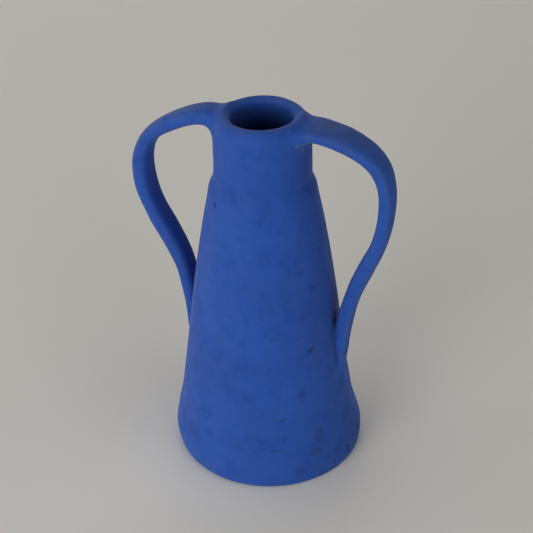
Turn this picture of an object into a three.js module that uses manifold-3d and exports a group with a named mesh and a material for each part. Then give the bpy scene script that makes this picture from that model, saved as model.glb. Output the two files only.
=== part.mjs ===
// A hand-built two-handled amphora vase in fired clay. Millimetres, +Z up.
// The origin is the centre of the flat underside, and the two handles lie along +X and -X.
// Pieces of clay: a floor slab, a conical wall wrapped round it, a neck collar, a lip coil,
// two strap handles, and the pads of clay that join each handle at its top and at its tail.

import * as THREE from "three";
import { mergeVertices } from "three/addons/utils/BufferGeometryUtils.js";
import Module from "manifold-3d";

const wasm = await Module();
wasm.setup();

// ---------- Driving dimensions ----------

const HEIGHT = 292;
const WALL = 6.5; // thickness of the conical wall
const GAP = 0.3; // left between pieces where one is cut round another

// Outside of the cone: a rounded foot, then one long S-shaped curve up to the shoulder.
const FOOT_RADIUS = 74;
const BELLY = { radius: 77.5, z: 15 };
const LOWER_PULL = { radius: 59.6, z: 87 }; // the curve's control points
const UPPER_PULL = { radius: 64.2, z: 112 };
const SHOULDER = { radius: 41.1, z: 232 };

// Floor slab, inside the wall.
const SLAB_RADIUS = 66;
const SLAB_THICKNESS = 9;

// Neck and lip.
const NECK = { radius: 37, z: 242 }; // where the shoulder has turned into the neck
const SEAM_Z = 236; // the neck stands on the cone here
const LIP_BASE_Z = 270;
const LIP_RADIUS = 36.6;
const LIP_ROUNDING = { radial: 8.8, height: HEIGHT - LIP_BASE_Z };
const MOUTH_RADIUS = 23.3;
const MOUTH_ROUNDING = 4.5;
const THROAT_RADIUS = 25.5; // of the hollow, where the neck meets the lip

// Handles. Each station is a place on the centre line, from the lip to the tail:
// distance from the axis, height, then the strap's full width and thickness there.
const LEFT_HANDLE = [
  { out: 30, z: 282, width: 26, thickness: 15 },
  { out: 46.5, z: 282.3, width: 23, thickness: 14 },
  { out: 70.5, z: 273.3, width: 21, thickness: 12.5 },
  { out: 90.6, z: 259, width: 21, thickness: 12.8 },
  { out: 99.2, z: 240.5, width: 22, thickness: 13.8 },
  { out: 97.2, z: 209, width: 22.6, thickness: 14.4 },
  { out: 68.6, z: 149, width: 20.8, thickness: 13.4 },
  { out: 61, z: 90, width: 18.5, thickness: 11 },
  { out: 60.8, z: 66, width: 13, thickness: 8 },
];
const RIGHT_HANDLE = [
  { out: 30, z: 283, width: 34, thickness: 13 },
  { out: 46, z: 284, width: 32, thickness: 12.8 },
  { out: 71.5, z: 277, width: 28, thickness: 12.6 },
  { out: 89.2, z: 264.6, width: 25, thickness: 12.8 },
  { out: 96.3, z: 245.5, width: 22, thickness: 12.6 },
  { out: 93, z: 204, width: 17, thickness: 12 },
  { out: 81.8, z: 175, width: 15.2, thickness: 13 },
  { out: 70.6, z: 143, width: 14.5, thickness: 13.2 },
  { out: 62, z: 86, width: 13.5, thickness: 12 },
  { out: 61, z: 62, width: 11, thickness: 8 },
];

// Joining pads: ellipsoids of clay that their neighbours are cut from.
const ROOT_PAD = { out: 37.5, z: 272, depth: 9, width: 14, height: 8, lean: 0 };
const TAIL_PAD = { out: 62.8, z: 80, depth: 5.5, width: 13, height: 25, lean: 8 };

// Facets.
const AROUND = 48;
const HANDLE_STEPS = 30;
const SECTION_SIDES = 14;
const SECTION_SQUARENESS = 2.8; // superellipse exponent: 2 is an oval

// ---------- Clay colour ----------

const COBALT = 0x2f52a0;
const COBALT_DARK = 0x27478c;

function clay(colour) {
  return new THREE.MeshStandardMaterial({ color: colour, roughness: 0.85, metalness: 0 });
}

// ---------- Geometry helpers ----------

function point(radius, z) {
  return new THREE.Vector2(radius, z);
}

// A solid of revolution about Z from a profile of (radius, height) points.
function turned(profile) {
  return new THREE.LatheGeometry(profile, AROUND).rotateX(Math.PI / 2);
}

// A quarter of an ellipse, from one angle to another.
function quarter(centre, radial, height, from, to, pieces) {
  const arc = new THREE.EllipseCurve(
    centre.x, centre.y, radial, height, from, to, to < from,
  );
  return arc.getPoints(pieces);
}

function solid(geometry) {
  const bare = geometry.clone();
  bare.deleteAttribute("normal");
  bare.deleteAttribute("uv");
  const merged = mergeVertices(bare, 1e-4);
  return new wasm.Manifold(
    new wasm.Mesh({
      numProp: 3,
      vertProperties: merged.getAttribute("position").array,
      triVerts: new Uint32Array(merged.index.array),
    }),
  );
}

function geometryOf(manifold) {
  const mesh = manifold.getMesh();
  const geometry = new THREE.BufferGeometry();
  geometry.setAttribute("position", new THREE.BufferAttribute(mesh.vertProperties, 3));
  geometry.setIndex(new THREE.BufferAttribute(mesh.triVerts, 1));
  geometry.computeVertexNormals();
  return geometry;
}

// ---------- Profiles ----------

// The cone's long curve, moved outwards by a distance.
function coneCurve(outwards) {
  return new THREE.CubicBezierCurve(
    point(BELLY.radius + outwards, BELLY.z),
    point(LOWER_PULL.radius + outwards, LOWER_PULL.z),
    point(UPPER_PULL.radius + outwards, UPPER_PULL.z),
    point(SHOULDER.radius + outwards, SHOULDER.z),
  );
}

function footArc(outwards) {
  const centre = point(FOOT_RADIUS, BELLY.z);
  const radial = BELLY.radius + outwards - FOOT_RADIUS;
  return quarter(centre, radial, BELLY.z, -Math.PI / 2, 0, 4);
}

// The shoulder's turn from cone to neck, met half way by the seam.
function shoulderTurn(outwards) {
  const seamRadius = (SHOULDER.radius + NECK.radius) / 2 + 0.5;
  return [
    point(seamRadius + outwards, SEAM_Z),
    point(NECK.radius + outwards, NECK.z),
  ];
}

function lipArc(outwards) {
  const centre = point(LIP_RADIUS - LIP_ROUNDING.radial, HEIGHT - LIP_ROUNDING.height);
  const radial = LIP_ROUNDING.radial + outwards;
  return quarter(centre, radial, LIP_ROUNDING.height + outwards, 0, Math.PI / 2, 8);
}

// The whole outside as one solid without its hollow, swollen by a distance.
function bodyEnvelope(outwards) {
  return solid(turned([
    point(0, 0),
    ...footArc(outwards),
    ...coneCurve(outwards).getPoints(14).slice(1),
    ...shoulderTurn(outwards),
    ...lipArc(outwards),
    point(0, HEIGHT + outwards),
  ]));
}

// ---------- Body pieces ----------

function baseSlab() {
  const edge = SLAB_RADIUS - GAP;
  return turned([point(0, 0), point(edge, 0), point(edge, SLAB_THICKNESS), point(0, SLAB_THICKNESS)]);
}

function bodyWall() {
  const [seam] = shoulderTurn(0);
  const inside = coneCurve(-WALL).getPoints(10).reverse();
  return turned([
    point(SLAB_RADIUS, 0),
    ...footArc(0),
    ...coneCurve(0).getPoints(14).slice(1),
    seam,
    point(seam.x - WALL, SEAM_Z),
    ...inside,
    point(SLAB_RADIUS, SLAB_THICKNESS),
    point(SLAB_RADIUS, 0),
  ]);
}

function neckCollar() {
  const [seam, neckStart] = shoulderTurn(0);
  return turned([
    point(seam.x - WALL, SEAM_Z),
    seam,
    neckStart,
    point(LIP_RADIUS, LIP_BASE_Z),
    point(THROAT_RADIUS, LIP_BASE_Z),
    point(seam.x - WALL, SEAM_Z),
  ]);
}

// The lip is thicker than the cone's wall: it domes over and closes in on the mouth.
function mouthRim() {
  const mouthEdge = point(MOUTH_RADIUS + MOUTH_ROUNDING, HEIGHT - MOUTH_ROUNDING);
  const innerTurn = quarter(
    mouthEdge, MOUTH_ROUNDING, MOUTH_ROUNDING, Math.PI / 2, Math.PI, 3,
  );
  return turned([
    point(THROAT_RADIUS, LIP_BASE_Z),
    ...lipArc(0),
    ...innerTurn,
    point(THROAT_RADIUS, LIP_BASE_Z),
  ]);
}

// ---------- Handles and their joining pads ----------

function strapSection() {
  const outline = [];
  const power = 2 / SECTION_SQUARENESS;
  for (let i = 0; i < SECTION_SIDES; i += 1) {
    const angle = (2 * Math.PI * (i + 0.5)) / SECTION_SIDES;
    const x = Math.sign(Math.cos(angle)) * Math.abs(Math.cos(angle)) ** power;
    const y = Math.sign(Math.sin(angle)) * Math.abs(Math.sin(angle)) ** power;
    outline.push(point(x / 2, y / 2));
  }
  return new THREE.Shape(outline);
}

// A straight bar of unit section, bent along the stations in the XZ plane. At each place the
// section is stretched to the strap's width, which lies along Y, and to its thickness.
function strap(stations, swell) {
  const line = new THREE.CatmullRomCurve3(
    stations.map((s) => new THREE.Vector3(s.out, 0, s.z)), false, "centripetal",
  );
  const size = new THREE.CatmullRomCurve3(
    stations.map((s) => new THREE.Vector3(s.width, s.thickness, 0)), false, "catmullrom",
  );
  const bar = new THREE.ExtrudeGeometry(
    strapSection(), { steps: HANDLE_STEPS, depth: 1, bevelEnabled: false },
  );
  const position = bar.getAttribute("position");
  const across = new THREE.Vector3(0, -1, 0);
  for (let i = 0; i < position.count; i += 1) {
    const share = position.getZ(i);
    const face = new THREE.Vector3().crossVectors(line.getTangent(share), across);
    const { x: width, y: thickness } = size.getPoint(share);
    const place = line.getPoint(share)
      .addScaledVector(across, position.getX(i) * (width + 2 * swell))
      .addScaledVector(face, position.getY(i) * (thickness + 2 * swell));
    position.setXYZ(i, place.x, place.y, place.z);
  }
  return bar;
}

// An ellipsoid of clay pressed into a joint. Its lean, in degrees, tips its top towards the axis.
function pad({ out, z, depth, width, height, lean }) {
  const ball = new THREE.SphereGeometry(1, 20, 14);
  ball.scale(depth, width, height);
  ball.rotateY(-THREE.MathUtils.degToRad(lean));
  ball.translate(out, 0, z);
  return ball;
}

function handlePieces(side, stations) {
  const body = bodyEnvelope(GAP);
  const swollen = solid(strap(stations, GAP));
  const cut = (blank, tool) => geometryOf(solid(blank).subtract(tool));
  const round = body.add(swollen);
  return [
    [`${side}_handle`, cut(strap(stations, 0), body)],
    [`${side}_handle_root_pad`, cut(pad(ROOT_PAD), round)],
    [`${side}_handle_tail_pad`, cut(pad(TAIL_PAD), round)],
  ];
}

// ---------- Assembly ----------

function piece(name, geometry, colour) {
  const mesh = new THREE.Mesh(geometry, clay(colour));
  mesh.name = name;
  return mesh;
}

function handle(side, stations, turn) {
  const group = new THREE.Group();
  for (const [name, geometry] of handlePieces(side, stations)) {
    group.add(piece(name, geometry, COBALT));
  }
  group.rotation.z = turn;
  return group;
}

const amphora = new THREE.Group();
amphora.add(
  piece("base_slab", baseSlab(), COBALT_DARK),
  piece("body_wall", bodyWall(), COBALT),
  piece("neck_collar", neckCollar(), COBALT),
  piece("mouth_rim", mouthRim(), COBALT_DARK),
  handle("right", RIGHT_HANDLE, 0),
  handle("left", LEFT_HANDLE, Math.PI),
);

export default amphora;
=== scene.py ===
"""A hand-built two-handled amphora vase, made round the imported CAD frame.

The vase's skin is one distance field: a turned hollow body and two swept strap handles, melted
together where the clay was joined. It is turned into a mesh, given the unevenness of hand-built
clay, and cut into the same separate pieces of clay as the CAD model has. The shape is worked out
in millimetres, with +Z up and +X towards the right handle, and its meshes are in metres.
"""

import math

import bmesh
import bpy
import numpy as np
import openvdb
from mathutils import Matrix, Vector


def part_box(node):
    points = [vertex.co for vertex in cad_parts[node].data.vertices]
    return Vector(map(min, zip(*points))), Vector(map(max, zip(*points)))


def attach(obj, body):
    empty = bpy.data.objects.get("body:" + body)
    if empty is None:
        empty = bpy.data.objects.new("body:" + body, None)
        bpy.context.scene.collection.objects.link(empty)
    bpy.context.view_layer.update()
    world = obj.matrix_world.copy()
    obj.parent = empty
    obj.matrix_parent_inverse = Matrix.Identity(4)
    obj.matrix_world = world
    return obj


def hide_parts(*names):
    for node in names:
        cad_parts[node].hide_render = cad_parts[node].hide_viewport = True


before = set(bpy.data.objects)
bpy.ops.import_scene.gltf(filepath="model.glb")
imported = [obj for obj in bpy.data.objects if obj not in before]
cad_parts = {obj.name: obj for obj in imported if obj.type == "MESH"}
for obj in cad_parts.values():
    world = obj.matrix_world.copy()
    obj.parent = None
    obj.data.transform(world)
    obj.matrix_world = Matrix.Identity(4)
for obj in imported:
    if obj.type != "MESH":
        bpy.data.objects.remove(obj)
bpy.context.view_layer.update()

MM = 0.001


def node_box(node):
    """A CAD node's lowest and highest corners in millimetres."""
    low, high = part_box(node)
    return np.array(low) / MM, np.array(high) / MM


# ---------- Driving dimensions, millimetres ----------

SLAB_RADIUS = round(node_box("base_slab")[1][0])
SLAB_THICKNESS = node_box("base_slab")[1][2]
BELLY_RADIUS = node_box("body_wall")[1][1] - 0.5  # the foot is a little off the axis
SEAM_Z = node_box("body_wall")[1][2]
LIP_BASE_Z = node_box("neck_collar")[1][2]
LIP_RISE = 1.0  # the lip is higher at the back than in the middle
HEIGHT = node_box("mouth_rim")[1][2] - LIP_RISE
LIP_RADIUS = node_box("mouth_rim")[1][1]

# Places on the outline are (radius, height).
WALL = 6.5
FOOT_RADIUS = 74.0
BELLY_Z = 15.0
CONE_PULLS = ((59.6, 87.0), (64.2, 112.0))  # the two middle control points of the cone's curve
SHOULDER = (41.1, 232.0)
SHOULDER_PULLS = ((40.1, 236.0), (38.2, 238.5))
NECK = (37.0, 242.0)
LIP_ROUNDING = (8.8, 22.0)  # inwards and up
LIP_STEPS = 24
MOUTH_RADIUS = 23.3
MOUTH_ROUNDING = 4.5
THROAT = ((33.0, 236.0), (25.5, 270.0), (23.3, 286.5))  # the hollow's wall inside the neck
FLOOR_COVE = 8.0  # the rounding between the floor and the wall

# Stations along each handle's centre line: out from the axis, height, width, thickness.
LEFT_HANDLE = (
    (30.0, 282.0, 26.0, 15.0),
    (46.5, 282.3, 23.0, 14.0),
    (70.5, 273.3, 21.0, 12.5),
    (90.6, 259.0, 21.0, 12.8),
    (99.2, 240.5, 22.0, 13.8),
    (97.2, 209.0, 22.6, 14.4),
    (68.6, 149.0, 20.8, 13.4),
    (61.0, 90.0, 18.5, 11.0),
    (60.8, 66.0, 13.0, 8.0),
)
RIGHT_HANDLE = (
    (30.0, 283.0, 34.0, 13.0),
    (46.0, 284.0, 32.0, 12.8),
    (71.5, 277.0, 28.0, 12.6),
    (89.2, 264.6, 25.0, 12.8),
    (96.3, 245.5, 22.0, 12.6),
    (93.0, 204.0, 17.0, 12.0),
    (81.8, 175.0, 15.2, 13.0),
    (70.6, 143.0, 14.5, 13.2),
    (62.0, 86.0, 13.5, 12.0),
    (61.0, 62.0, 11.0, 8.0),
)
SQUARENESS = 2.8  # superellipse exponent of the strap's section
STRAP_SAMPLES = 260

# How far the clay is melted together round the handles, by height.
MELT_HEIGHTS = (54.0, 68.0, 84.0, 100.0, 235.0, 262.0, 278.0, 289.0)
MELT_REACHES = (10.0, 4.5, 1.4, 1.0, 2.5, 9.0, 9.0, 6.0)

VOXEL = 1.0
BAND = 3 * VOXEL  # the field's own reach each side of the skin
RADIAL_STEP = 0.5
FIELD_LOW = np.array((-112.0, -84.0, -4.0))
FIELD_HIGH = np.array((112.0, 84.0, 296.0))


# ---------- Curves and outlines ----------


def bezier(points, pieces):
    """Points along a cubic curve."""
    t = np.linspace(0.0, 1.0, pieces + 1)[:, None]
    a, b, c, d = (np.array(p) for p in points)
    return (1 - t) ** 3 * a + 3 * (1 - t) ** 2 * t * b + 3 * (1 - t) * t**2 * c + t**3 * d


def quarter(centre, radial, height, start, end, pieces):
    """Points along part of an ellipse, from one angle in degrees to another."""
    angles = np.radians(np.linspace(start, end, pieces + 1))
    return np.array(centre) + np.stack([radial * np.cos(angles), height * np.sin(angles)], 1)


def cone_curve():
    """The body's long side, from its widest place up to the shoulder."""
    return bezier(((BELLY_RADIUS, BELLY_Z), *CONE_PULLS, SHOULDER), 60)


def outside_outline(grow=0.0):
    """The body's outside from the foot to the lip, as (radius, height) points."""
    foot = quarter((FOOT_RADIUS, BELLY_Z), BELLY_RADIUS - FOOT_RADIUS, BELLY_Z, -90, 0, 12)
    neck = bezier((SHOULDER, *SHOULDER_PULLS, NECK), 10)
    lip_centre = (LIP_RADIUS - LIP_ROUNDING[0], HEIGHT - LIP_ROUNDING[1])
    lip = quarter(lip_centre, LIP_ROUNDING[0], LIP_ROUNDING[1] + grow, 0, 90, LIP_STEPS)
    return np.concatenate([foot, cone_curve()[1:], neck[1:], lip]) + (grow, 0.0)


def hollow_outline():
    """The hollow, from the middle of the floor up the wall and out through the mouth."""
    cove_centre = (SLAB_RADIUS - FLOOR_COVE + 2.5, SLAB_THICKNESS + FLOOR_COVE)
    cove = quarter(cove_centre, FLOOR_COVE, FLOOR_COVE, -90, -10, 8)
    wall = cone_curve() - (WALL, 0.0)
    above_cove = wall[wall[:, 1] > SLAB_THICKNESS + FLOOR_COVE + 6]
    lip_centre = (MOUTH_RADIUS + MOUTH_ROUNDING, HEIGHT - MOUTH_ROUNDING)
    lip = quarter(lip_centre, MOUTH_ROUNDING, MOUTH_ROUNDING, 180, 95, 6)
    above_lip = HEIGHT + 12.0
    return np.concatenate([
        [(0.0, SLAB_THICKNESS)],
        cove,
        above_cove,
        THROAT,
        lip,
        [(lip_centre[0], above_lip), (0.0, above_lip)],
    ])


def solid_outline(grow=0.0):
    """The outside closed along the axis, as if the body were not hollow."""
    return np.concatenate([[(0.0, 0.0)], outside_outline(grow), [(0.0, HEIGHT + grow)]])


def through(stations, samples):
    """A smooth centripetal curve through the stations' places, with their sizes eased along it."""
    stations = np.array(stations)
    ends = [2 * stations[0] - stations[1], 2 * stations[-1] - stations[-2]]
    padded = np.concatenate([[ends[0]], stations, [ends[1]]])
    share = np.linspace(0, len(stations) - 1 - 1e-9, samples)
    span = share.astype(int)
    t = (share - span)[:, None]
    p0, p1, p2, p3 = (padded[span + i] for i in range(4))
    spans = ((p0, p1), (p1, p2), (p2, p3))
    gap = [np.linalg.norm((b - a)[:, :2], axis=1)[:, None] ** 0.5 for a, b in spans]
    leave = ((p1 - p0) / gap[0] - (p2 - p0) / (gap[0] + gap[1]) + (p2 - p1) / gap[1]) * gap[1]
    arrive = ((p2 - p1) / gap[1] - (p3 - p1) / (gap[1] + gap[2]) + (p3 - p2) / gap[2]) * gap[1]
    c2 = 3 * (p2 - p1) - 2 * leave - arrive
    c3 = 2 * (p1 - p2) + leave + arrive
    return p1 + leave * t + c2 * t**2 + c3 * t**3


# ---------- Distance fields ----------


def outline_distance(radii, heights, outline):
    """Signed distance to a closed outline at each (radius, height), negative inside."""
    r, z = np.meshgrid(radii, heights, indexing="ij")
    nearest = np.full(r.shape, 1e9)
    inside = np.zeros(r.shape, bool)
    for (r0, z0), (r1, z1) in zip(outline, np.roll(outline, -1, axis=0)):
        dr, dz = r1 - r0, z1 - z0
        along = np.clip(((r - r0) * dr + (z - z0) * dz) / max(dr * dr + dz * dz, 1e-12), 0, 1)
        if r0 > 0 or r1 > 0:  # the axis is not a wall
            nearest = np.minimum(nearest, np.hypot(r - r0 - along * dr, z - z0 - along * dz))
        if z0 != z1:
            crosses = (z0 > z) != (z1 > z)
            inside ^= crosses & (r < r0 + (z - z0) * dr / dz)
    return np.where(inside, -nearest, nearest)


class Field:
    """The grid that every distance field is sampled on."""

    x, y, z = (np.arange(low, high + VOXEL, VOXEL) for low, high in zip(FIELD_LOW, FIELD_HIGH))
    radius = np.hypot(x[:, None], y[None, :])
    shape = (len(x), len(y), len(z))


def turned_field(outline):
    """The distance field of an outline turned about the axis."""
    radii = np.arange(0.0, Field.radius.max() + 2 * RADIAL_STEP, RADIAL_STEP)
    table = outline_distance(radii, Field.z, outline).astype(np.float32)
    place = Field.radius / RADIAL_STEP
    index = place.astype(int)
    share = (place - index)[..., None].astype(np.float32)
    return table[index] * (1 - share) + table[index + 1] * share


def strap_field(stations, side):
    """The distance field of a strap handle on one side of the body, +1 or -1."""
    line = through(stations, STRAP_SAMPLES)
    step = np.gradient(line[:, :2], axis=0)
    along = step / np.linalg.norm(step, axis=1)[:, None]
    x, z = np.meshgrid(Field.x * side, Field.z, indexing="ij")
    spots = np.stack([x.ravel(), z.ravel()], 1)
    near = np.concatenate([
        ((batch[:, None] - line[None, :, :2]) ** 2).sum(2).argmin(1)
        for batch in np.array_split(spots, 4)
    ])
    offset = spots - line[near, :2]
    tangent = along[near]
    face = np.abs(offset[:, 1] * tangent[:, 0] - offset[:, 0] * tangent[:, 1]).reshape(x.shape)
    at_end = (near == 0) | (near == len(line) - 1)
    past_end = np.where(at_end, np.abs((offset * tangent).sum(1)), 0.0).reshape(x.shape)
    half_width, half_thick = (line[near, i].reshape(x.shape) / 2 for i in (2, 3))
    p = SQUARENESS
    a = (face / half_thick)[:, None, :] + 1e-4
    b = np.abs(Field.y)[None, :, None] / half_width[:, None, :] + 1e-4
    g = (a**p + b**p) ** (1 / p)
    slope = g ** (1 - p) * np.hypot(
        a ** (p - 1) / half_thick[:, None, :], b ** (p - 1) / half_width[:, None, :]
    )
    distance = (g - 1) / slope
    far = np.maximum(past_end - VOXEL, 0)[:, None, :]
    return np.where(far > 0, np.hypot(np.maximum(distance, 0), far), distance).astype(np.float32)


def melt(a, b, reach):
    """The union of two fields, with a fillet of about the given reach."""
    overlap = np.maximum(reach - np.abs(a - b), 0) / reach
    return np.minimum(a, b) - overlap**2 * reach / 4


def vase_field():
    """The whole vase: body and handles melted together, less the hollow."""
    reach = np.interp(Field.z, MELT_HEIGHTS, MELT_REACHES).astype(np.float32)[None, None, :]
    solid = turned_field(solid_outline())
    for stations, side in ((RIGHT_HANDLE, 1), (LEFT_HANDLE, -1)):
        solid = melt(solid, strap_field(stations, side), reach)
    return np.maximum(solid, -turned_field(hollow_outline()))


def sample(field, points):
    """The field's values at points in millimetres, between its grid's own."""
    place = (points - FIELD_LOW) / VOXEL
    corner = np.clip(place.astype(int), 0, np.array(field.shape) - 2)
    f = place - corner
    total = np.zeros(len(points))
    for i in (0, 1):
        for j in (0, 1):
            for k in (0, 1):
                weight = (
                    (f[:, 0] if i else 1 - f[:, 0])
                    * (f[:, 1] if j else 1 - f[:, 1])
                    * (f[:, 2] if k else 1 - f[:, 2])
                )
                total += weight * field[corner[:, 0] + i, corner[:, 1] + j, corner[:, 2] + k]
    return total


def slope_at(field, points):
    """The field's unit gradient at points, which is the skin's outward normal."""
    reach = 0.75 * VOXEL
    steps = np.eye(3) * reach
    grad = np.stack([sample(field, points + s) - sample(field, points - s) for s in steps], 1)
    return grad / np.maximum(np.linalg.norm(grad, axis=1), 1e-9)[:, None]


def bend(field, points):
    """How sharply the skin turns at points: high on edges, and below zero in hollows."""
    reach = 3.0
    steps = np.eye(3) * reach
    ring = sum(sample(field, points + step) + sample(field, points - step) for step in steps)
    return (ring - 6 * sample(field, points)) / reach**2


# ---------- Meshes ----------


def new_object(name, mesh):
    """A new object in the scene, with a mesh."""
    made = bpy.data.objects.new(name, mesh)
    bpy.context.scene.collection.objects.link(made)
    return made


def skin_mesh(field):
    """The field's surface as (points in millimetres, quads)."""
    grid = openvdb.FloatGrid(BAND)
    grid.copyFromArray(np.clip(field, -BAND, BAND))
    points, _, quads = grid.convertToPolygons()
    points = points * VOXEL + FIELD_LOW
    for _ in range(2):
        points = points - slope_at(field, points) * sample(field, points)[:, None]
    return points, quads


# ---------- The unevenness of hand-built clay ----------

SINK = 0.12  # the whole skin sits this far in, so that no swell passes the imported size
FLAT_FOOT = 4.0  # the skin is even at the bottom, and fully uneven from this height
FOOT_SHIFT = (3.2, -0.5)  # how far off the axis the foot was made
FOOT_SHIFT_TOP = 60.0
SHOULDER_SHIFT = -1.0  # the shoulder leans out a little to the left
SHOULDER_MIDDLE, SHOULDER_REACH = 226.0, 16.0
LIP_TILT = 0.03  # rise of the lip for each millimetre towards the back
LIP_TILT_LOW, LIP_TILT_REACH = 240.0, 50.0
NECK_REACH = 40.0  # the shoulder's and the lip's shifts fade outside this radius
FINE_MARK = 2.1  # a mark narrower than this needs a finer mesh

rng = np.random.default_rng(29)
WAVE_COUNT = 26


def unit_vectors(count):
    """Random directions."""
    spread = rng.normal(size=(count, 3))
    return spread / np.linalg.norm(spread, axis=1)[:, None]


WAVE_LENGTHS = rng.uniform(24.0, 75.0, WAVE_COUNT)
WAVE_VECTORS = unit_vectors(WAVE_COUNT) * (2 * math.pi / WAVE_LENGTHS)[:, None]
WAVE_STARTS = rng.uniform(0, 2 * math.pi, WAVE_COUNT)
WAVE_SIZES = 0.10 * WAVE_LENGTHS / WAVE_LENGTHS.mean()


def swell(points):
    """A slow rise and fall of the surface, in millimetres."""
    return sum(
        size * np.sin(points @ vector + start)
        for size, vector, start in zip(WAVE_SIZES, WAVE_VECTORS, WAVE_STARTS)
    )


# Marks seen on the front: azimuth in degrees from +X, height, half width, half height, depth,
# and the tilt of the width in degrees, right side up.
MARKS = (
    (-125, 228, 0.9, 2.3, 1.1, -15),
    (-62, 231, 8.0, 1.3, 0.45, -12),
    (-32, 252, 1.6, 3.2, 0.3, 0),
    (-17, 193, 2.0, 1.8, 0.6, 0),
    (-34, 180, 5.0, 1.9, 0.7, 0),
    (-82, 194, 4.5, 2.0, 0.25, 10),
    (-61, 155, 3.0, 4.0, 0.4, 20),
    (-97, 146, 3.0, 1.4, 0.45, -10),
    (-24, 134, 2.2, 2.0, 0.6, 0),
    (-61, 131, 3.2, 0.8, 0.8, 0),
    (-104, 124, 6.0, 4.5, 0.35, 0),
    (-32, 114, 2.8, 1.9, 1.3, 10),
    (-29, 115, 4.0, 1.1, 0.6, 12),
    (-124, 109, 1.0, 1.2, 0.6, 0),
    (-65, 105, 2.0, 0.8, 0.5, 0),
    (-73, 103, 7.0, 4.0, 0.35, 0),
    (-100, 85, 8.0, 4.0, 0.35, 0),
    (-41, 79, 7.0, 5.0, 0.42, 0),
    (-72, 70, 9.0, 1.1, 0.35, 0),
    (-56, 60, 3.0, 0.9, 0.9, 0),
    (-14, 58, 2.0, 3.4, 0.6, 0),
    (-112, 55, 5.0, 0.9, 0.4, -18),
    (-117, 43, 3.0, 1.6, 0.35, 0),
    (-56, 43, 2.6, 1.5, 0.6, 15),
    (-71, 42, 4.5, 1.1, 0.5, 0),
    (-32, 39, 5.2, 8.0, 0.62, -10),
    (-89, 36, 8.0, 6.0, 0.4, 0),
    (-63, 34, 4.0, 0.9, 0.8, 0),
    (-36, 26, 7.5, 4.2, 0.6, 0),
    (5, 16, 3.2, 5.0, 1.2, 10),
    (-48, 13, 5.0, 2.6, 0.5, 0),
    (-11, 12, 3.0, 3.6, 1.1, 15),
    (-24, 10, 1.5, 3.2, 0.8, -10),
    (-2, 27, 3.0, 6.0, 0.5, 8),
    (-22, 20, 2.6, 2.0, 0.4, 0),
    (-5, 37, 9.0, 15.0, 0.32, 0),
)


def on_cone(azimuth, z):
    """A point of the body's outside."""
    radii, heights = outside_outline()[: -LIP_STEPS - 1].T
    radius = np.interp(z, heights, radii)
    a = math.radians(azimuth)
    return np.array((radius * math.cos(a), radius * math.sin(a), z))


def scattered_marks(count, narrowest, widest, deepest):
    """Finger and tool marks all round the body, more of them low down."""
    for _ in range(count):
        z = rng.triangular(8, 30, 232)
        wide = rng.uniform(narrowest, widest)
        yield (rng.uniform(0, 360), z, wide, wide * rng.uniform(0.25, 0.7),
               rng.uniform(0.3, 1.0) * deepest, rng.uniform(-25, 25))


def mark_depth(points, marks):
    """How deep the marks have sunk the surface at each point."""
    depth = np.zeros(len(points))
    for azimuth, z, half_width, half_height, deep, tilt in marks:
        centre = on_cone(azimuth, z)
        reach = 2.2 * max(half_width, half_height)
        near = np.flatnonzero(np.abs(points - centre).max(1) < reach)
        if not len(near):
            continue
        a, lean = math.radians(azimuth), math.radians(tilt)
        across = np.array((-math.sin(a), math.cos(a), 0.0))
        offset = points[near] - centre
        u, v = offset @ across, offset[:, 2]
        u, v = u * math.cos(lean) + v * math.sin(lean), v * math.cos(lean) - u * math.sin(lean)
        spot = (u / half_width) ** 2 + (v / half_height) ** 2
        depth[near] = np.maximum(depth[near], deep * np.exp(-spot**1.5))
    return depth


ALL_MARKS = [
    *MARKS,
    *scattered_marks(60, 3.0, 9.0, 0.35),  # fingertips
    *scattered_marks(22, 1.2, 3.6, 0.8),  # nicks
]


def near_fine_marks(points):
    """True for the points round marks too narrow for the skin's own mesh."""
    near = np.zeros(len(points), bool)
    for azimuth, z, half_width, half_height, *_ in ALL_MARKS:
        if min(half_width, half_height) < FINE_MARK:
            reach = 1.5 * max(half_width, half_height) + 1.0
            near |= np.linalg.norm(points - on_cone(azimuth, z), axis=1) < reach
    return near


def uneven(points, normals, sunk):
    """The points moved along their normals, less near the flat foot, and then shifted."""
    move = np.minimum(swell(points) - SINK, 0.0) - SINK - sunk
    rest = np.clip(points[:, 2] / FLAT_FOOT, 0, 1)
    moved = points + normals * (move * rest)[:, None]
    x, y, z = moved.T
    low = np.clip(1 - z / FOOT_SHIFT_TOP, 0, 1) ** 2
    high = np.clip((z - LIP_TILT_LOW) / LIP_TILT_REACH, 0, 1) ** 2
    near = np.clip(1.6 - np.hypot(x, y) / NECK_REACH, 0, 1)
    lean = SHOULDER_SHIFT * near * np.exp(-(((z - SHOULDER_MIDDLE) / SHOULDER_REACH) ** 2))
    shift = (FOOT_SHIFT[0] * low + lean, FOOT_SHIFT[1] * low, LIP_TILT * y * high * near)
    return moved + np.stack(shift, 1)


# ---------- Cutting the skin into its pieces of clay ----------

AROUND = 256
CLEAR = 0.8  # how far the cutters stand off the body's skin
WIDE, TALL = 200, 400  # sizes well past the vase's own
ROOT_PAD = {"out": 37.5, "z": 272.0, "sizes": (9.0, 14.0, 8.0)}
TAIL_PAD = {"out": 66.0, "top": 130.0, "end": 50.0, "sizes": (24.0, 17.0), "depth": 2.6}
HOLLOW_SKIN = 1.5  # points this near to the hollow's outline are on its own skin
INSIDE_SHARE = 0.55  # of the faces on the hollow's skin


def mesh_object(name, points, faces):
    """A new object from points in millimetres."""
    mesh = bpy.data.meshes.new(name)
    mesh.from_pydata((np.asarray(points) * MM).tolist(), [], faces)
    mesh.validate()
    return new_object(name, mesh)


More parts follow.
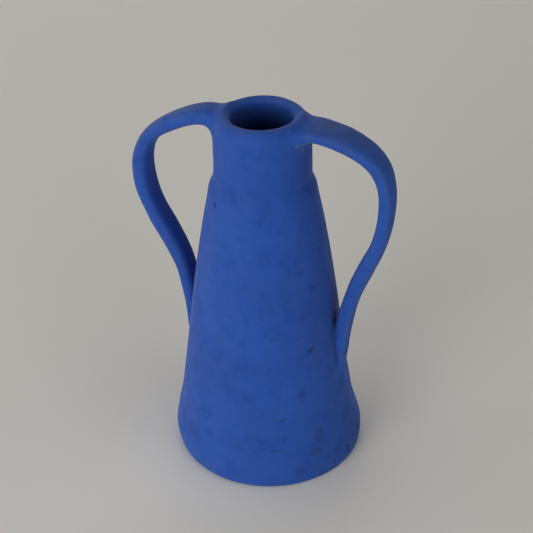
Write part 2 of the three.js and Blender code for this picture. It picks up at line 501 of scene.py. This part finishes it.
def turned_solid(name, outline):
    """A closed solid turned from an outline that starts and ends on the axis."""
    points, faces, rings = [], [], []
    angles = np.linspace(0, 2 * math.pi, AROUND, endpoint=False)
    for radius, z in outline:
        count = AROUND if radius > 1e-6 else 1
        rings.append(range(len(points), len(points) + count))
        points += [(radius * math.cos(a), radius * math.sin(a), z) for a in angles[:count]]
    for low, high in zip(rings, rings[1:]):
        for i in range(AROUND):
            j = (i + 1) % AROUND
            below = [low[i % len(low)], low[j % len(low)]]
            above = [high[j % len(high)], high[i % len(high)]]
            faces.append(list(dict.fromkeys(below + above)))
    return mesh_object(name, points, faces)


def disc_solid(name, radius, low, high):
    """A closed round disc between two heights."""
    return turned_solid(name, [(0, low), (radius, low), (radius, high), (0, high)])


def mesh_box(name, low, high):
    """A closed box between two corners."""
    mesh = bpy.data.meshes.new(name)
    form = bmesh.new()
    centre = (Vector(low) + Vector(high)) / 2 * MM
    size = (Vector(high) - Vector(low)) * MM
    place = Matrix.Translation(centre) @ Matrix.Diagonal((*size, 1.0))
    bmesh.ops.create_cube(form, size=1.0, matrix=place)
    form.to_mesh(mesh)
    form.free()
    return new_object(name, mesh)


def ellipsoid(name, centre, sizes):
    """A closed ellipsoid with its half sizes along the axes."""
    mesh = bpy.data.meshes.new(name)
    ball = bmesh.new()
    place = Matrix.Translation(Vector(centre) * MM)
    size = Matrix.Diagonal((*(s * MM for s in sizes), 1.0))
    bmesh.ops.create_icosphere(ball, subdivisions=5, radius=1.0, matrix=place @ size)
    ball.to_mesh(mesh)
    ball.free()
    return new_object(name, mesh)


def cut(piece, cutter, operation, name):
    """A new object: the piece with the cutter taken away from it, or kept only inside it."""
    made = new_object(name, piece.data.copy())
    step = made.modifiers.new("cut", "BOOLEAN")
    step.operation = operation
    step.solver = "MANIFOLD"
    step.object = cutter
    shown = made.evaluated_get(bpy.context.evaluated_depsgraph_get())
    mesh = bpy.data.meshes.new_from_object(shown)
    made.modifiers.clear()
    made.data = mesh
    mesh.name = name
    return made


def split(piece, cutter, inside, outside):
    """The piece's part inside the cutter and its part outside, and the piece is gone."""
    parts = cut(piece, cutter, "INTERSECT", inside), cut(piece, cutter, "DIFFERENCE", outside)
    discard(piece, cutter)
    return parts


def discard(*objects):
    """Remove spent objects with their meshes."""
    for spent in objects:
        mesh = spent.data
        bpy.data.objects.remove(spent)
        bpy.data.meshes.remove(mesh)


def drop_crumbs(piece, least=200):
    """Remove loose scraps of fewer vertices than the least."""
    form = bmesh.new()
    form.from_mesh(piece.data)
    form.verts.ensure_lookup_table()
    seen, scraps = set(), []
    for start in form.verts:
        if start in seen:
            continue
        island, border = {start}, [start]
        while border:
            for link in border.pop().link_edges:
                for vert in link.verts:
                    if vert not in island:
                        island.add(vert)
                        border.append(vert)
        seen |= island
        if len(island) < least:
            scraps += island
    if scraps:
        bmesh.ops.delete(form, geom=scraps, context="VERTS")
        form.to_mesh(piece.data)
    form.free()


def on_hollow(points):
    """True for the points on the hollow's own skin."""
    return np.abs(sample(HOLLOW_FIELD, points)) < HOLLOW_SKIN


def thin_inside(skin):
    """Fewer faces on the hollow's own skin below the neck, which is smooth and little seen."""
    points = vertices(skin.data)
    inside = np.flatnonzero(on_hollow(points) & (points[:, 2] < 255))
    skin.vertex_groups.new(name="inside").add(inside.tolist(), 1.0, "REPLACE")
    step = skin.modifiers.new("thin", "DECIMATE")
    step.ratio = INSIDE_SHARE
    step.vertex_group = "inside"
    step.vertex_group_factor = 1000.0
    shown = skin.evaluated_get(bpy.context.evaluated_depsgraph_get())
    mesh = bpy.data.meshes.new_from_object(shown)
    skin.modifiers.clear()
    skin.vertex_groups.clear()
    skin.data = mesh


def vertex_normals(mesh):
    """A mesh's smooth normals, one for each vertex."""
    normals = np.empty(len(mesh.vertices) * 3, np.float32)
    mesh.vertex_normals.foreach_get("vector", normals)
    return normals.reshape(-1, 3)


def keep(mesh, name, values):
    """Write a value of each vertex to its corners, where a cut carries it along."""
    corners = np.empty(len(mesh.loops), np.int32)
    mesh.loops.foreach_get("vertex_index", corners)
    kept = mesh.attributes.new(name, "FLOAT_VECTOR", "CORNER")
    kept.data.foreach_set("vector", values.astype(np.float32)[corners].ravel())


def use_normals(piece):
    """Shade the skin smooth from its kept normals, and the cut faces flat."""
    mesh = piece.data
    kept = mesh.attributes["skin_normal"]
    normals = np.empty(len(mesh.loops) * 3, np.float32)
    kept.data.foreach_get("vector", normals)
    normals = normals.reshape(-1, 3)
    length = np.linalg.norm(normals, axis=1)
    flat = np.empty(len(mesh.polygons) * 3, np.float32)
    mesh.polygon_normals.foreach_get("vector", flat)
    sides = np.empty(len(mesh.polygons), np.int32)
    mesh.polygons.foreach_get("loop_total", sides)
    flat = np.repeat(flat.reshape(-1, 3), sides, axis=0)
    smooth = length > 0.5
    normals = np.where(smooth[:, None], normals / np.maximum(length, 1e-6)[:, None], flat)
    mesh.attributes.remove(kept)
    mesh.shade_smooth()
    mesh.normals_split_custom_set(normals)


def vertices(mesh):
    """A mesh's points in millimetres."""
    points = np.empty(len(mesh.vertices) * 3)
    mesh.vertices.foreach_get("co", points)
    return points.reshape(-1, 3) / MM


def refine(skin):
    """Split the skin's faces round the fine marks, so that the marks are true shape."""
    near = near_fine_marks(vertices(skin.data))
    form = bmesh.new()
    form.from_mesh(skin.data)
    edges = [e for e in form.edges if near[e.verts[0].index] and near[e.verts[1].index]]
    bmesh.ops.subdivide_edges(form, edges=edges, cuts=2, use_grid_fill=True)
    bmesh.ops.triangulate(form, faces=[f for f in form.faces if len(f.verts) > 4])
    form.to_mesh(skin.data)
    form.free()


def near_roots(points):
    """How near each point is to a handle's root, where hands rub the vase, from 0 to 1."""
    rubbed_z = ROOT_PAD["z"] + 7
    out = (np.abs(points[:, 0]) - ROOT_PAD["out"]) / 16
    up = (points[:, 2] - rubbed_z) / 10
    across = points[:, 1] / 26
    return np.exp(-(out**2 + up**2 + across**2))


def on_handle_tops(points, normals):
    """How much each point faces up on the handles' bends, from 0 to 1: dust lies there, and a
    painted sheen stands for the light on these tops.
    """
    facing = np.clip(1.4 * normals[:, 2] - 0.3, 0, 1)
    out = np.clip((np.abs(points[:, 0]) - 38) / 10, 0, 1)
    high = np.clip((points[:, 2] - 215) / 30, 0, 1)
    return facing * out * high


def wear_and_painted_light(points, normals, sunk):
    """What the material needs at each point, from 0 to 1: how much painted shade, how worn or
    painted with sheen, and how rubbed.
    """
    turn = bend(VASE_FIELD, points)
    # painted shade: the marks' dents, the creases and the hollow below the mouth are darkened
    crease_shade = np.clip((-turn - 0.1) / 0.3, 0, 0.9)
    edge = np.clip((turn - 0.06) / 0.2, 0, 1)
    below_mouth = np.clip((288 - points[:, 2]) / 8, 0, 1)
    painted_shade = np.maximum(sunk, np.maximum(crease_shade, 0.65 * below_mouth * on_hollow(points)))
    # edge wear, and painted sheen with dust on the handles' up-facing tops
    wear_and_sheen = np.maximum(edge, on_handle_tops(points, normals))
    return np.stack([painted_shade, wear_and_sheen, near_roots(points)], 1)


def build_skin():
    """The whole vase as one uneven skin, with its normals and its wear and painted light kept."""
    skin = mesh_object("skin", *skin_mesh(VASE_FIELD))
    refine(skin)
    thin_inside(skin)
    points = vertices(skin.data)
    normals = slope_at(VASE_FIELD, points)
    sunk = mark_depth(points, ALL_MARKS)
    moved = uneven(points, normals, sunk)
    skin.data.vertices.foreach_set("co", (moved * MM).ravel())
    skin.data.update()
    keep(skin.data, "skin_normal", vertex_normals(skin.data))
    keep(skin.data, "wear_and_painted_light", wear_and_painted_light(points, normals, sunk))
    return skin


def root_cutter(side):
    """An egg round the filled corner where a handle leaves the lip."""
    centre = (side * ROOT_PAD["out"], 0.0, ROOT_PAD["z"])
    return ellipsoid("root_cutter", centre, ROOT_PAD["sizes"])


def tail_cutter(side):
    """Half an egg, flat side up, that reaches just under the body's skin."""
    height = TAIL_PAD["top"] - TAIL_PAD["end"]
    centre = (side * TAIL_PAD["out"], 0.0, TAIL_PAD["top"])
    egg = ellipsoid("egg", centre, (*TAIL_PAD["sizes"], height))
    for spare in (
        disc_solid("above_tail", WIDE, TAIL_PAD["top"], TALL),
        turned_solid("under_skin", solid_outline(-TAIL_PAD["depth"])),
    ):
        rest = cut(egg, spare, "DIFFERENCE", "tail_cutter")
        discard(egg, spare)
        egg = rest
    return egg


def body_region():
    """A region that holds the body and its lip, but neither handle above its tail."""
    low = TAIL_PAD["top"]
    past = 8  # how far the region passes the vase's ends
    side = [(r, z) for r, z in outside_outline(CLEAR) if low < z < LIP_BASE_Z + past]
    wide = 2 * BELLY_RADIUS
    foot = [(0, -past), (wide, -past), (wide, low), (side[0][0] + 0.2, low)]
    return [*foot, *side, (side[-1][0], HEIGHT + past), (0, HEIGHT + past)]


def build_pieces():
    """The vase's separate pieces of clay, by name."""
    right_tail, rest = split(build_skin(), tail_cutter(1), "right_tail", "rest")
    left_tail, rest = split(rest, tail_cutter(-1), "left_tail", "rest")
    body, handles = split(rest, turned_solid("body_cutter", body_region()), "body", "handles")
    floor_cutter = disc_solid("floor_cutter", SLAB_RADIUS, -8, SLAB_THICKNESS + 4)
    base, shell = split(body, floor_cutter, "base", "shell")
    upper, wall = split(shell, disc_solid("seam_cutter", WIDE, SEAM_Z, TALL), "upper", "wall")
    rim, neck = split(upper, disc_solid("lip_cutter", WIDE, LIP_BASE_Z, TALL), "rim", "neck")
    side_cutter = mesh_box("side_cutter", (0, -WIDE, -20), (WIDE, WIDE, TALL))
    right, left = split(handles, side_cutter, "right", "left")
    pieces = {"base_slab": base, "body_wall": wall, "neck_collar": neck, "mouth_rim": rim}
    for name, group, tail, side in (
        ("right_handle", right, right_tail, 1),
        ("left_handle", left, left_tail, -1),
    ):
        root, strap = split(group, root_cutter(side), "root", "strap")
        pieces |= {name: strap, name + "_root_pad": root, name + "_tail_pad": tail}
    for piece in pieces.values():
        drop_crumbs(piece)
        use_normals(piece)
    return pieces


# ---------- Material ----------

COBALT = (0.0065, 0.068, 0.37)
DEEP_COBALT = (0.004, 0.036, 0.22)  # where the slip lies thick
PAINTED_SHADE_COBALT = (0.004, 0.030, 0.125)  # painted shade in dents, nicks and creases, and inside the hollow
WORN_AND_SHEEN_COBALT = (0.04, 0.085, 0.27)  # where hands rub it, and painted sheen on the handles' up-facing tops
DUSTY = (0.12, 0.145, 0.25)  # scuffs of bare clay dust


class Nodes:
    """Short calls for building one material's nodes."""

    def __init__(self, name):
        self.material = bpy.data.materials.new(name)
        self.material.use_nodes = True
        self.tree = self.material.node_tree
        self.shader = self.tree.nodes["Principled BSDF"]

    def add(self, kind, **settings):
        node = self.tree.nodes.new(kind)
        for key, value in settings.items():
            setattr(node, key, value)
        return node

    def link(self, source, target):
        self.tree.links.new(source, target)

    def noise(self, scale, detail, distortion=0.0):
        """Noise in the object's own space, with its features 1/scale metres across."""
        node = self.add("ShaderNodeTexNoise")
        node.inputs["Scale"].default_value = scale
        node.inputs["Detail"].default_value = detail
        node.inputs["Distortion"].default_value = distortion
        self.link(self.place, node.inputs["Vector"])
        return node.outputs["Fac"]

    def ramp(self, value, low, high, to_low=0.0, to_high=1.0):
        """A value stretched from one range to another, and held at its ends."""
        node = self.add("ShaderNodeMapRange", interpolation_type="SMOOTHSTEP")
        for name, number in zip(
            ("From Min", "From Max", "To Min", "To Max"), (low, high, to_low, to_high)
        ):
            node.inputs[name].default_value = number
        self.link(value, node.inputs["Value"])
        return node.outputs["Result"]

    def times(self, a, b):
        node = self.add("ShaderNodeMath", operation="MULTIPLY")
        self.link(a, node.inputs[0])
        self.link(b, node.inputs[1])
        return node.outputs["Value"]

    def mix(self, share, colour, other):
        """A colour mixed towards another, which is a plain colour."""
        node = self.add("ShaderNodeMix", data_type="RGBA")
        first, second, mixed = node.inputs[6], node.inputs[7], node.outputs[2]
        self.link(share, node.inputs["Factor"])
        if isinstance(colour, tuple):
            first.default_value = (*colour, 1.0)
        else:
            self.link(colour, first)
        second.default_value = (*other, 1.0)
        return mixed

    def bump(self, height, distance, normal=None):
        node = self.add("ShaderNodeBump")
        node.inputs["Distance"].default_value = distance
        node.inputs["Strength"].default_value = 1.0
        self.link(height, node.inputs["Height"])
        if normal:
            self.link(normal, node.inputs["Normal"])
        return node.outputs["Normal"]


def clay_material(name, wear_and_sheen_strength, scuffs):
    """Matte cobalt slip on hand-smoothed clay, by how far it is worn and scuffed, with painted
    shade in dents, creases and the hollow, and painted sheen on the handles' tops.
    """
    n = Nodes(name)
    n.place = n.add("ShaderNodeTexCoord").outputs["Object"]
    state = n.add("ShaderNodeSeparateXYZ")
    kept = n.add("ShaderNodeAttribute", attribute_name="wear_and_painted_light")
    n.link(kept.outputs["Vector"], state.inputs[0])
    # the kept values: painted shade, edge wear with painted sheen on the handles' tops, and
    # rubbing
    painted_shade, edge, rubbed = state.outputs

    clouds = n.noise(20.0, 3.0)
    blotches = n.noise(85.0, 5.0, 0.5)
    patches = n.noise(130.0, 6.0, 0.8)
    grain = n.noise(1300.0, 3.0)

    colour = n.mix(n.ramp(clouds, 0.35, 0.75, 0.0, 0.28), COBALT, DEEP_COBALT)
    colour = n.mix(n.ramp(blotches, 0.52, 0.72, 0.0, 0.30), colour, DEEP_COBALT)
    colour = n.mix(n.ramp(grain, 0.60, 0.80, 0.0, 0.22), colour, WORN_AND_SHEEN_COBALT)
    # painted shade in dents, creases and inside the hollow
    colour = n.mix(n.ramp(painted_shade, 0.05, 0.95, 0.0, 0.72), colour, PAINTED_SHADE_COBALT)
    # edge wear, and painted sheen on the handles' up-facing tops
    wear_and_sheen = n.times(n.ramp(edge, 0.15, 1.0, 0.0, wear_and_sheen_strength), n.ramp(patches, 0.35, 0.6, 0.35, 1.0))
    colour = n.mix(wear_and_sheen, colour, WORN_AND_SHEEN_COBALT)
    scuffed = n.times(n.ramp(rubbed, 0.1, 0.9, 0.0, scuffs), n.ramp(patches, 0.55, 0.72))
    colour = n.mix(scuffed, colour, DUSTY)
    n.link(colour, n.shader.inputs["Base Color"])

    n.link(n.ramp(blotches, 0.3, 0.7, 0.70, 0.86), n.shader.inputs["Roughness"])
    n.shader.inputs["Sheen Weight"].default_value = 0.07
    n.shader.inputs["Sheen Roughness"].default_value = 0.5
    n.shader.inputs["Specular IOR Level"].default_value = 0.42
    normal = n.bump(n.noise(260.0, 4.0), 0.00022)
    n.link(n.bump(grain, 0.00006, normal), n.shader.inputs["Normal"])
    return n.material


# ---------- Camera, lights and floor ----------


def camera_axes(azimuth, elevation, roll):
    """The camera's own x, y and z axes as unit vectors."""
    a, e, r = (math.radians(v) for v in (azimuth, elevation, roll))
    back = Vector((math.sin(a) * math.cos(e), -math.cos(a) * math.cos(e), math.sin(e)))
    right = Vector((math.cos(a), math.sin(a), 0.0))
    up = back.cross(right)
    return math.cos(r) * right + math.sin(r) * up, math.cos(r) * up - math.sin(r) * right, back


# Angles are in degrees and lengths in millimetres. The aim is measured from the vase's middle.
CAMERA = {
    "azimuth": 22.83, "elevation": 32.64, "roll": -0.93, "distance": 936.7,
    "aim_right": 1.46, "aim_up": 13.97, "focal": 81.3,
}


def make_camera():
    """The camera at the photograph's viewing angle."""
    flat_right = camera_axes(CAMERA["azimuth"], CAMERA["elevation"], 0.0)[0]
    x, y, back = camera_axes(CAMERA["azimuth"], CAMERA["elevation"], CAMERA["roll"])
    aim = Vector((0, 0, HEIGHT / 2 + CAMERA["aim_up"])) + flat_right * CAMERA["aim_right"]
    place = (aim + back * CAMERA["distance"]) * MM
    data = bpy.data.cameras.new("camera")
    data.sensor_width = 36.0
    data.lens = CAMERA["focal"]
    data.clip_start = 0.01
    camera = bpy.data.objects.new("camera", data)
    matrix = Matrix((x, y, back)).transposed().to_4x4()
    matrix.translation = place
    camera.matrix_world = matrix
    bpy.context.scene.collection.objects.link(camera)
    bpy.context.scene.camera = camera


LIGHT_DISTANCE = 4.0
LIGHT_SIZE = 2.6
LIGHT_AIM = (0, 0, 0.15)
# Soft lights: azimuth from the camera's, elevation, and power in watts.
LIGHTS = (
    ("key", -38, 8, 112.0),
    ("fill", 35, 8, 47.0),
    ("left", -85, 8, 34.0),
    ("left_rear", -120, 8, 33.0),
    ("top", 0, 88, 23.0),
    ("rear", -165, 38, 19.0),
    ("rear_right", 168, 12, 22.0),
    ("right", 75, 38, 12.0),
)


def area_light(name, azimuth, elevation, power):
    """A square soft light aimed at the vase."""
    x, y, back = camera_axes(CAMERA["azimuth"] + azimuth, elevation, 0.0)
    data = bpy.data.lights.new(name, "AREA")
    data.size = LIGHT_SIZE
    data.energy = power
    light = bpy.data.objects.new(name, data)
    matrix = Matrix((x, y, back)).transposed().to_4x4()
    matrix.translation = Vector(LIGHT_AIM) + back * LIGHT_DISTANCE
    light.matrix_world = matrix
    bpy.context.scene.collection.objects.link(light)


def make_lights():
    """The soft lights and a faint warm glow from all round."""
    world = bpy.data.worlds.new("world")
    bpy.context.scene.world = world
    world.use_nodes = True
    background = world.node_tree.nodes["Background"]
    background.inputs["Color"].default_value = (1.0, 0.96, 0.9, 1.0)
    background.inputs["Strength"].default_value = 0.03
    for light in LIGHTS:
        area_light(*light)
    bpy.context.scene.view_settings.view_transform = "Standard"


def stage_material(name, settings):
    """A plain material with its shader's sockets set by name."""
    material = bpy.data.materials.new(name)
    material.use_nodes = True
    shader = material.node_tree.nodes["Principled BSDF"]
    for socket, value in settings.items():
        shader.inputs[socket].default_value = value
    return material


def make_floor():
    """A pale floor just under the vase."""
    bpy.ops.mesh.primitive_plane_add(size=6.0, location=(0, 0, -0.0001))
    floor = bpy.context.object
    floor.name = "floor"
    paint = {"Base Color": (0.86, 0.83, 0.77, 1), "Roughness": 0.9}
    floor.data.materials.append(stage_material("floor_paint", paint))


def make_far_wall():
    """A pale wall far off all round, which gives no light and casts no shadow."""
    bpy.ops.mesh.primitive_cylinder_add(
        vertices=128, radius=2.8, depth=8.0, end_fill_type="NOTHING", location=(0, 0, 0)
    )
    wall = bpy.context.object
    wall.name = "far_wall"
    paint = {
        "Base Color": (0, 0, 0, 1),
        "Specular IOR Level": 0.0,
        "Emission Color": (0.50, 0.48, 0.44, 1),
        "Emission Strength": 1.0,
    }
    wall.data.materials.append(stage_material("far_wall_paint", paint))
    wall.visible_diffuse = False
    wall.visible_glossy = False
    wall.visible_transmission = False
    wall.visible_shadow = False


# ---------- The scene ----------

VASE_FIELD = vase_field()
HOLLOW_FIELD = turned_field(hollow_outline())

SLOTS = {
    "base_slab": "cobalt_floor",
    "body_wall": "cobalt_body",
    "neck_collar": "cobalt_body",
    "mouth_rim": "cobalt_rim",
}
HANDLE_SLOT = "cobalt_handles"

finishes = {
    "cobalt_body": clay_material("cobalt_body", wear_and_sheen_strength=0.35, scuffs=0.7),
    "cobalt_rim": clay_material("cobalt_rim", wear_and_sheen_strength=0.55, scuffs=0.7),
    HANDLE_SLOT: clay_material(HANDLE_SLOT, wear_and_sheen_strength=0.55, scuffs=0.7),
    "cobalt_floor": clay_material("cobalt_floor", wear_and_sheen_strength=0.8, scuffs=0.8),
}
for node, piece in build_pieces().items():
    slot = SLOTS.get(node, HANDLE_SLOT)
    piece.name = "clay_" + node
    piece.data.materials.clear()
    piece.data.materials.append(finishes[slot])
    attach(piece, "root")
    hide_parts(node)

make_camera()
make_lights()
make_floor()
make_far_wall()
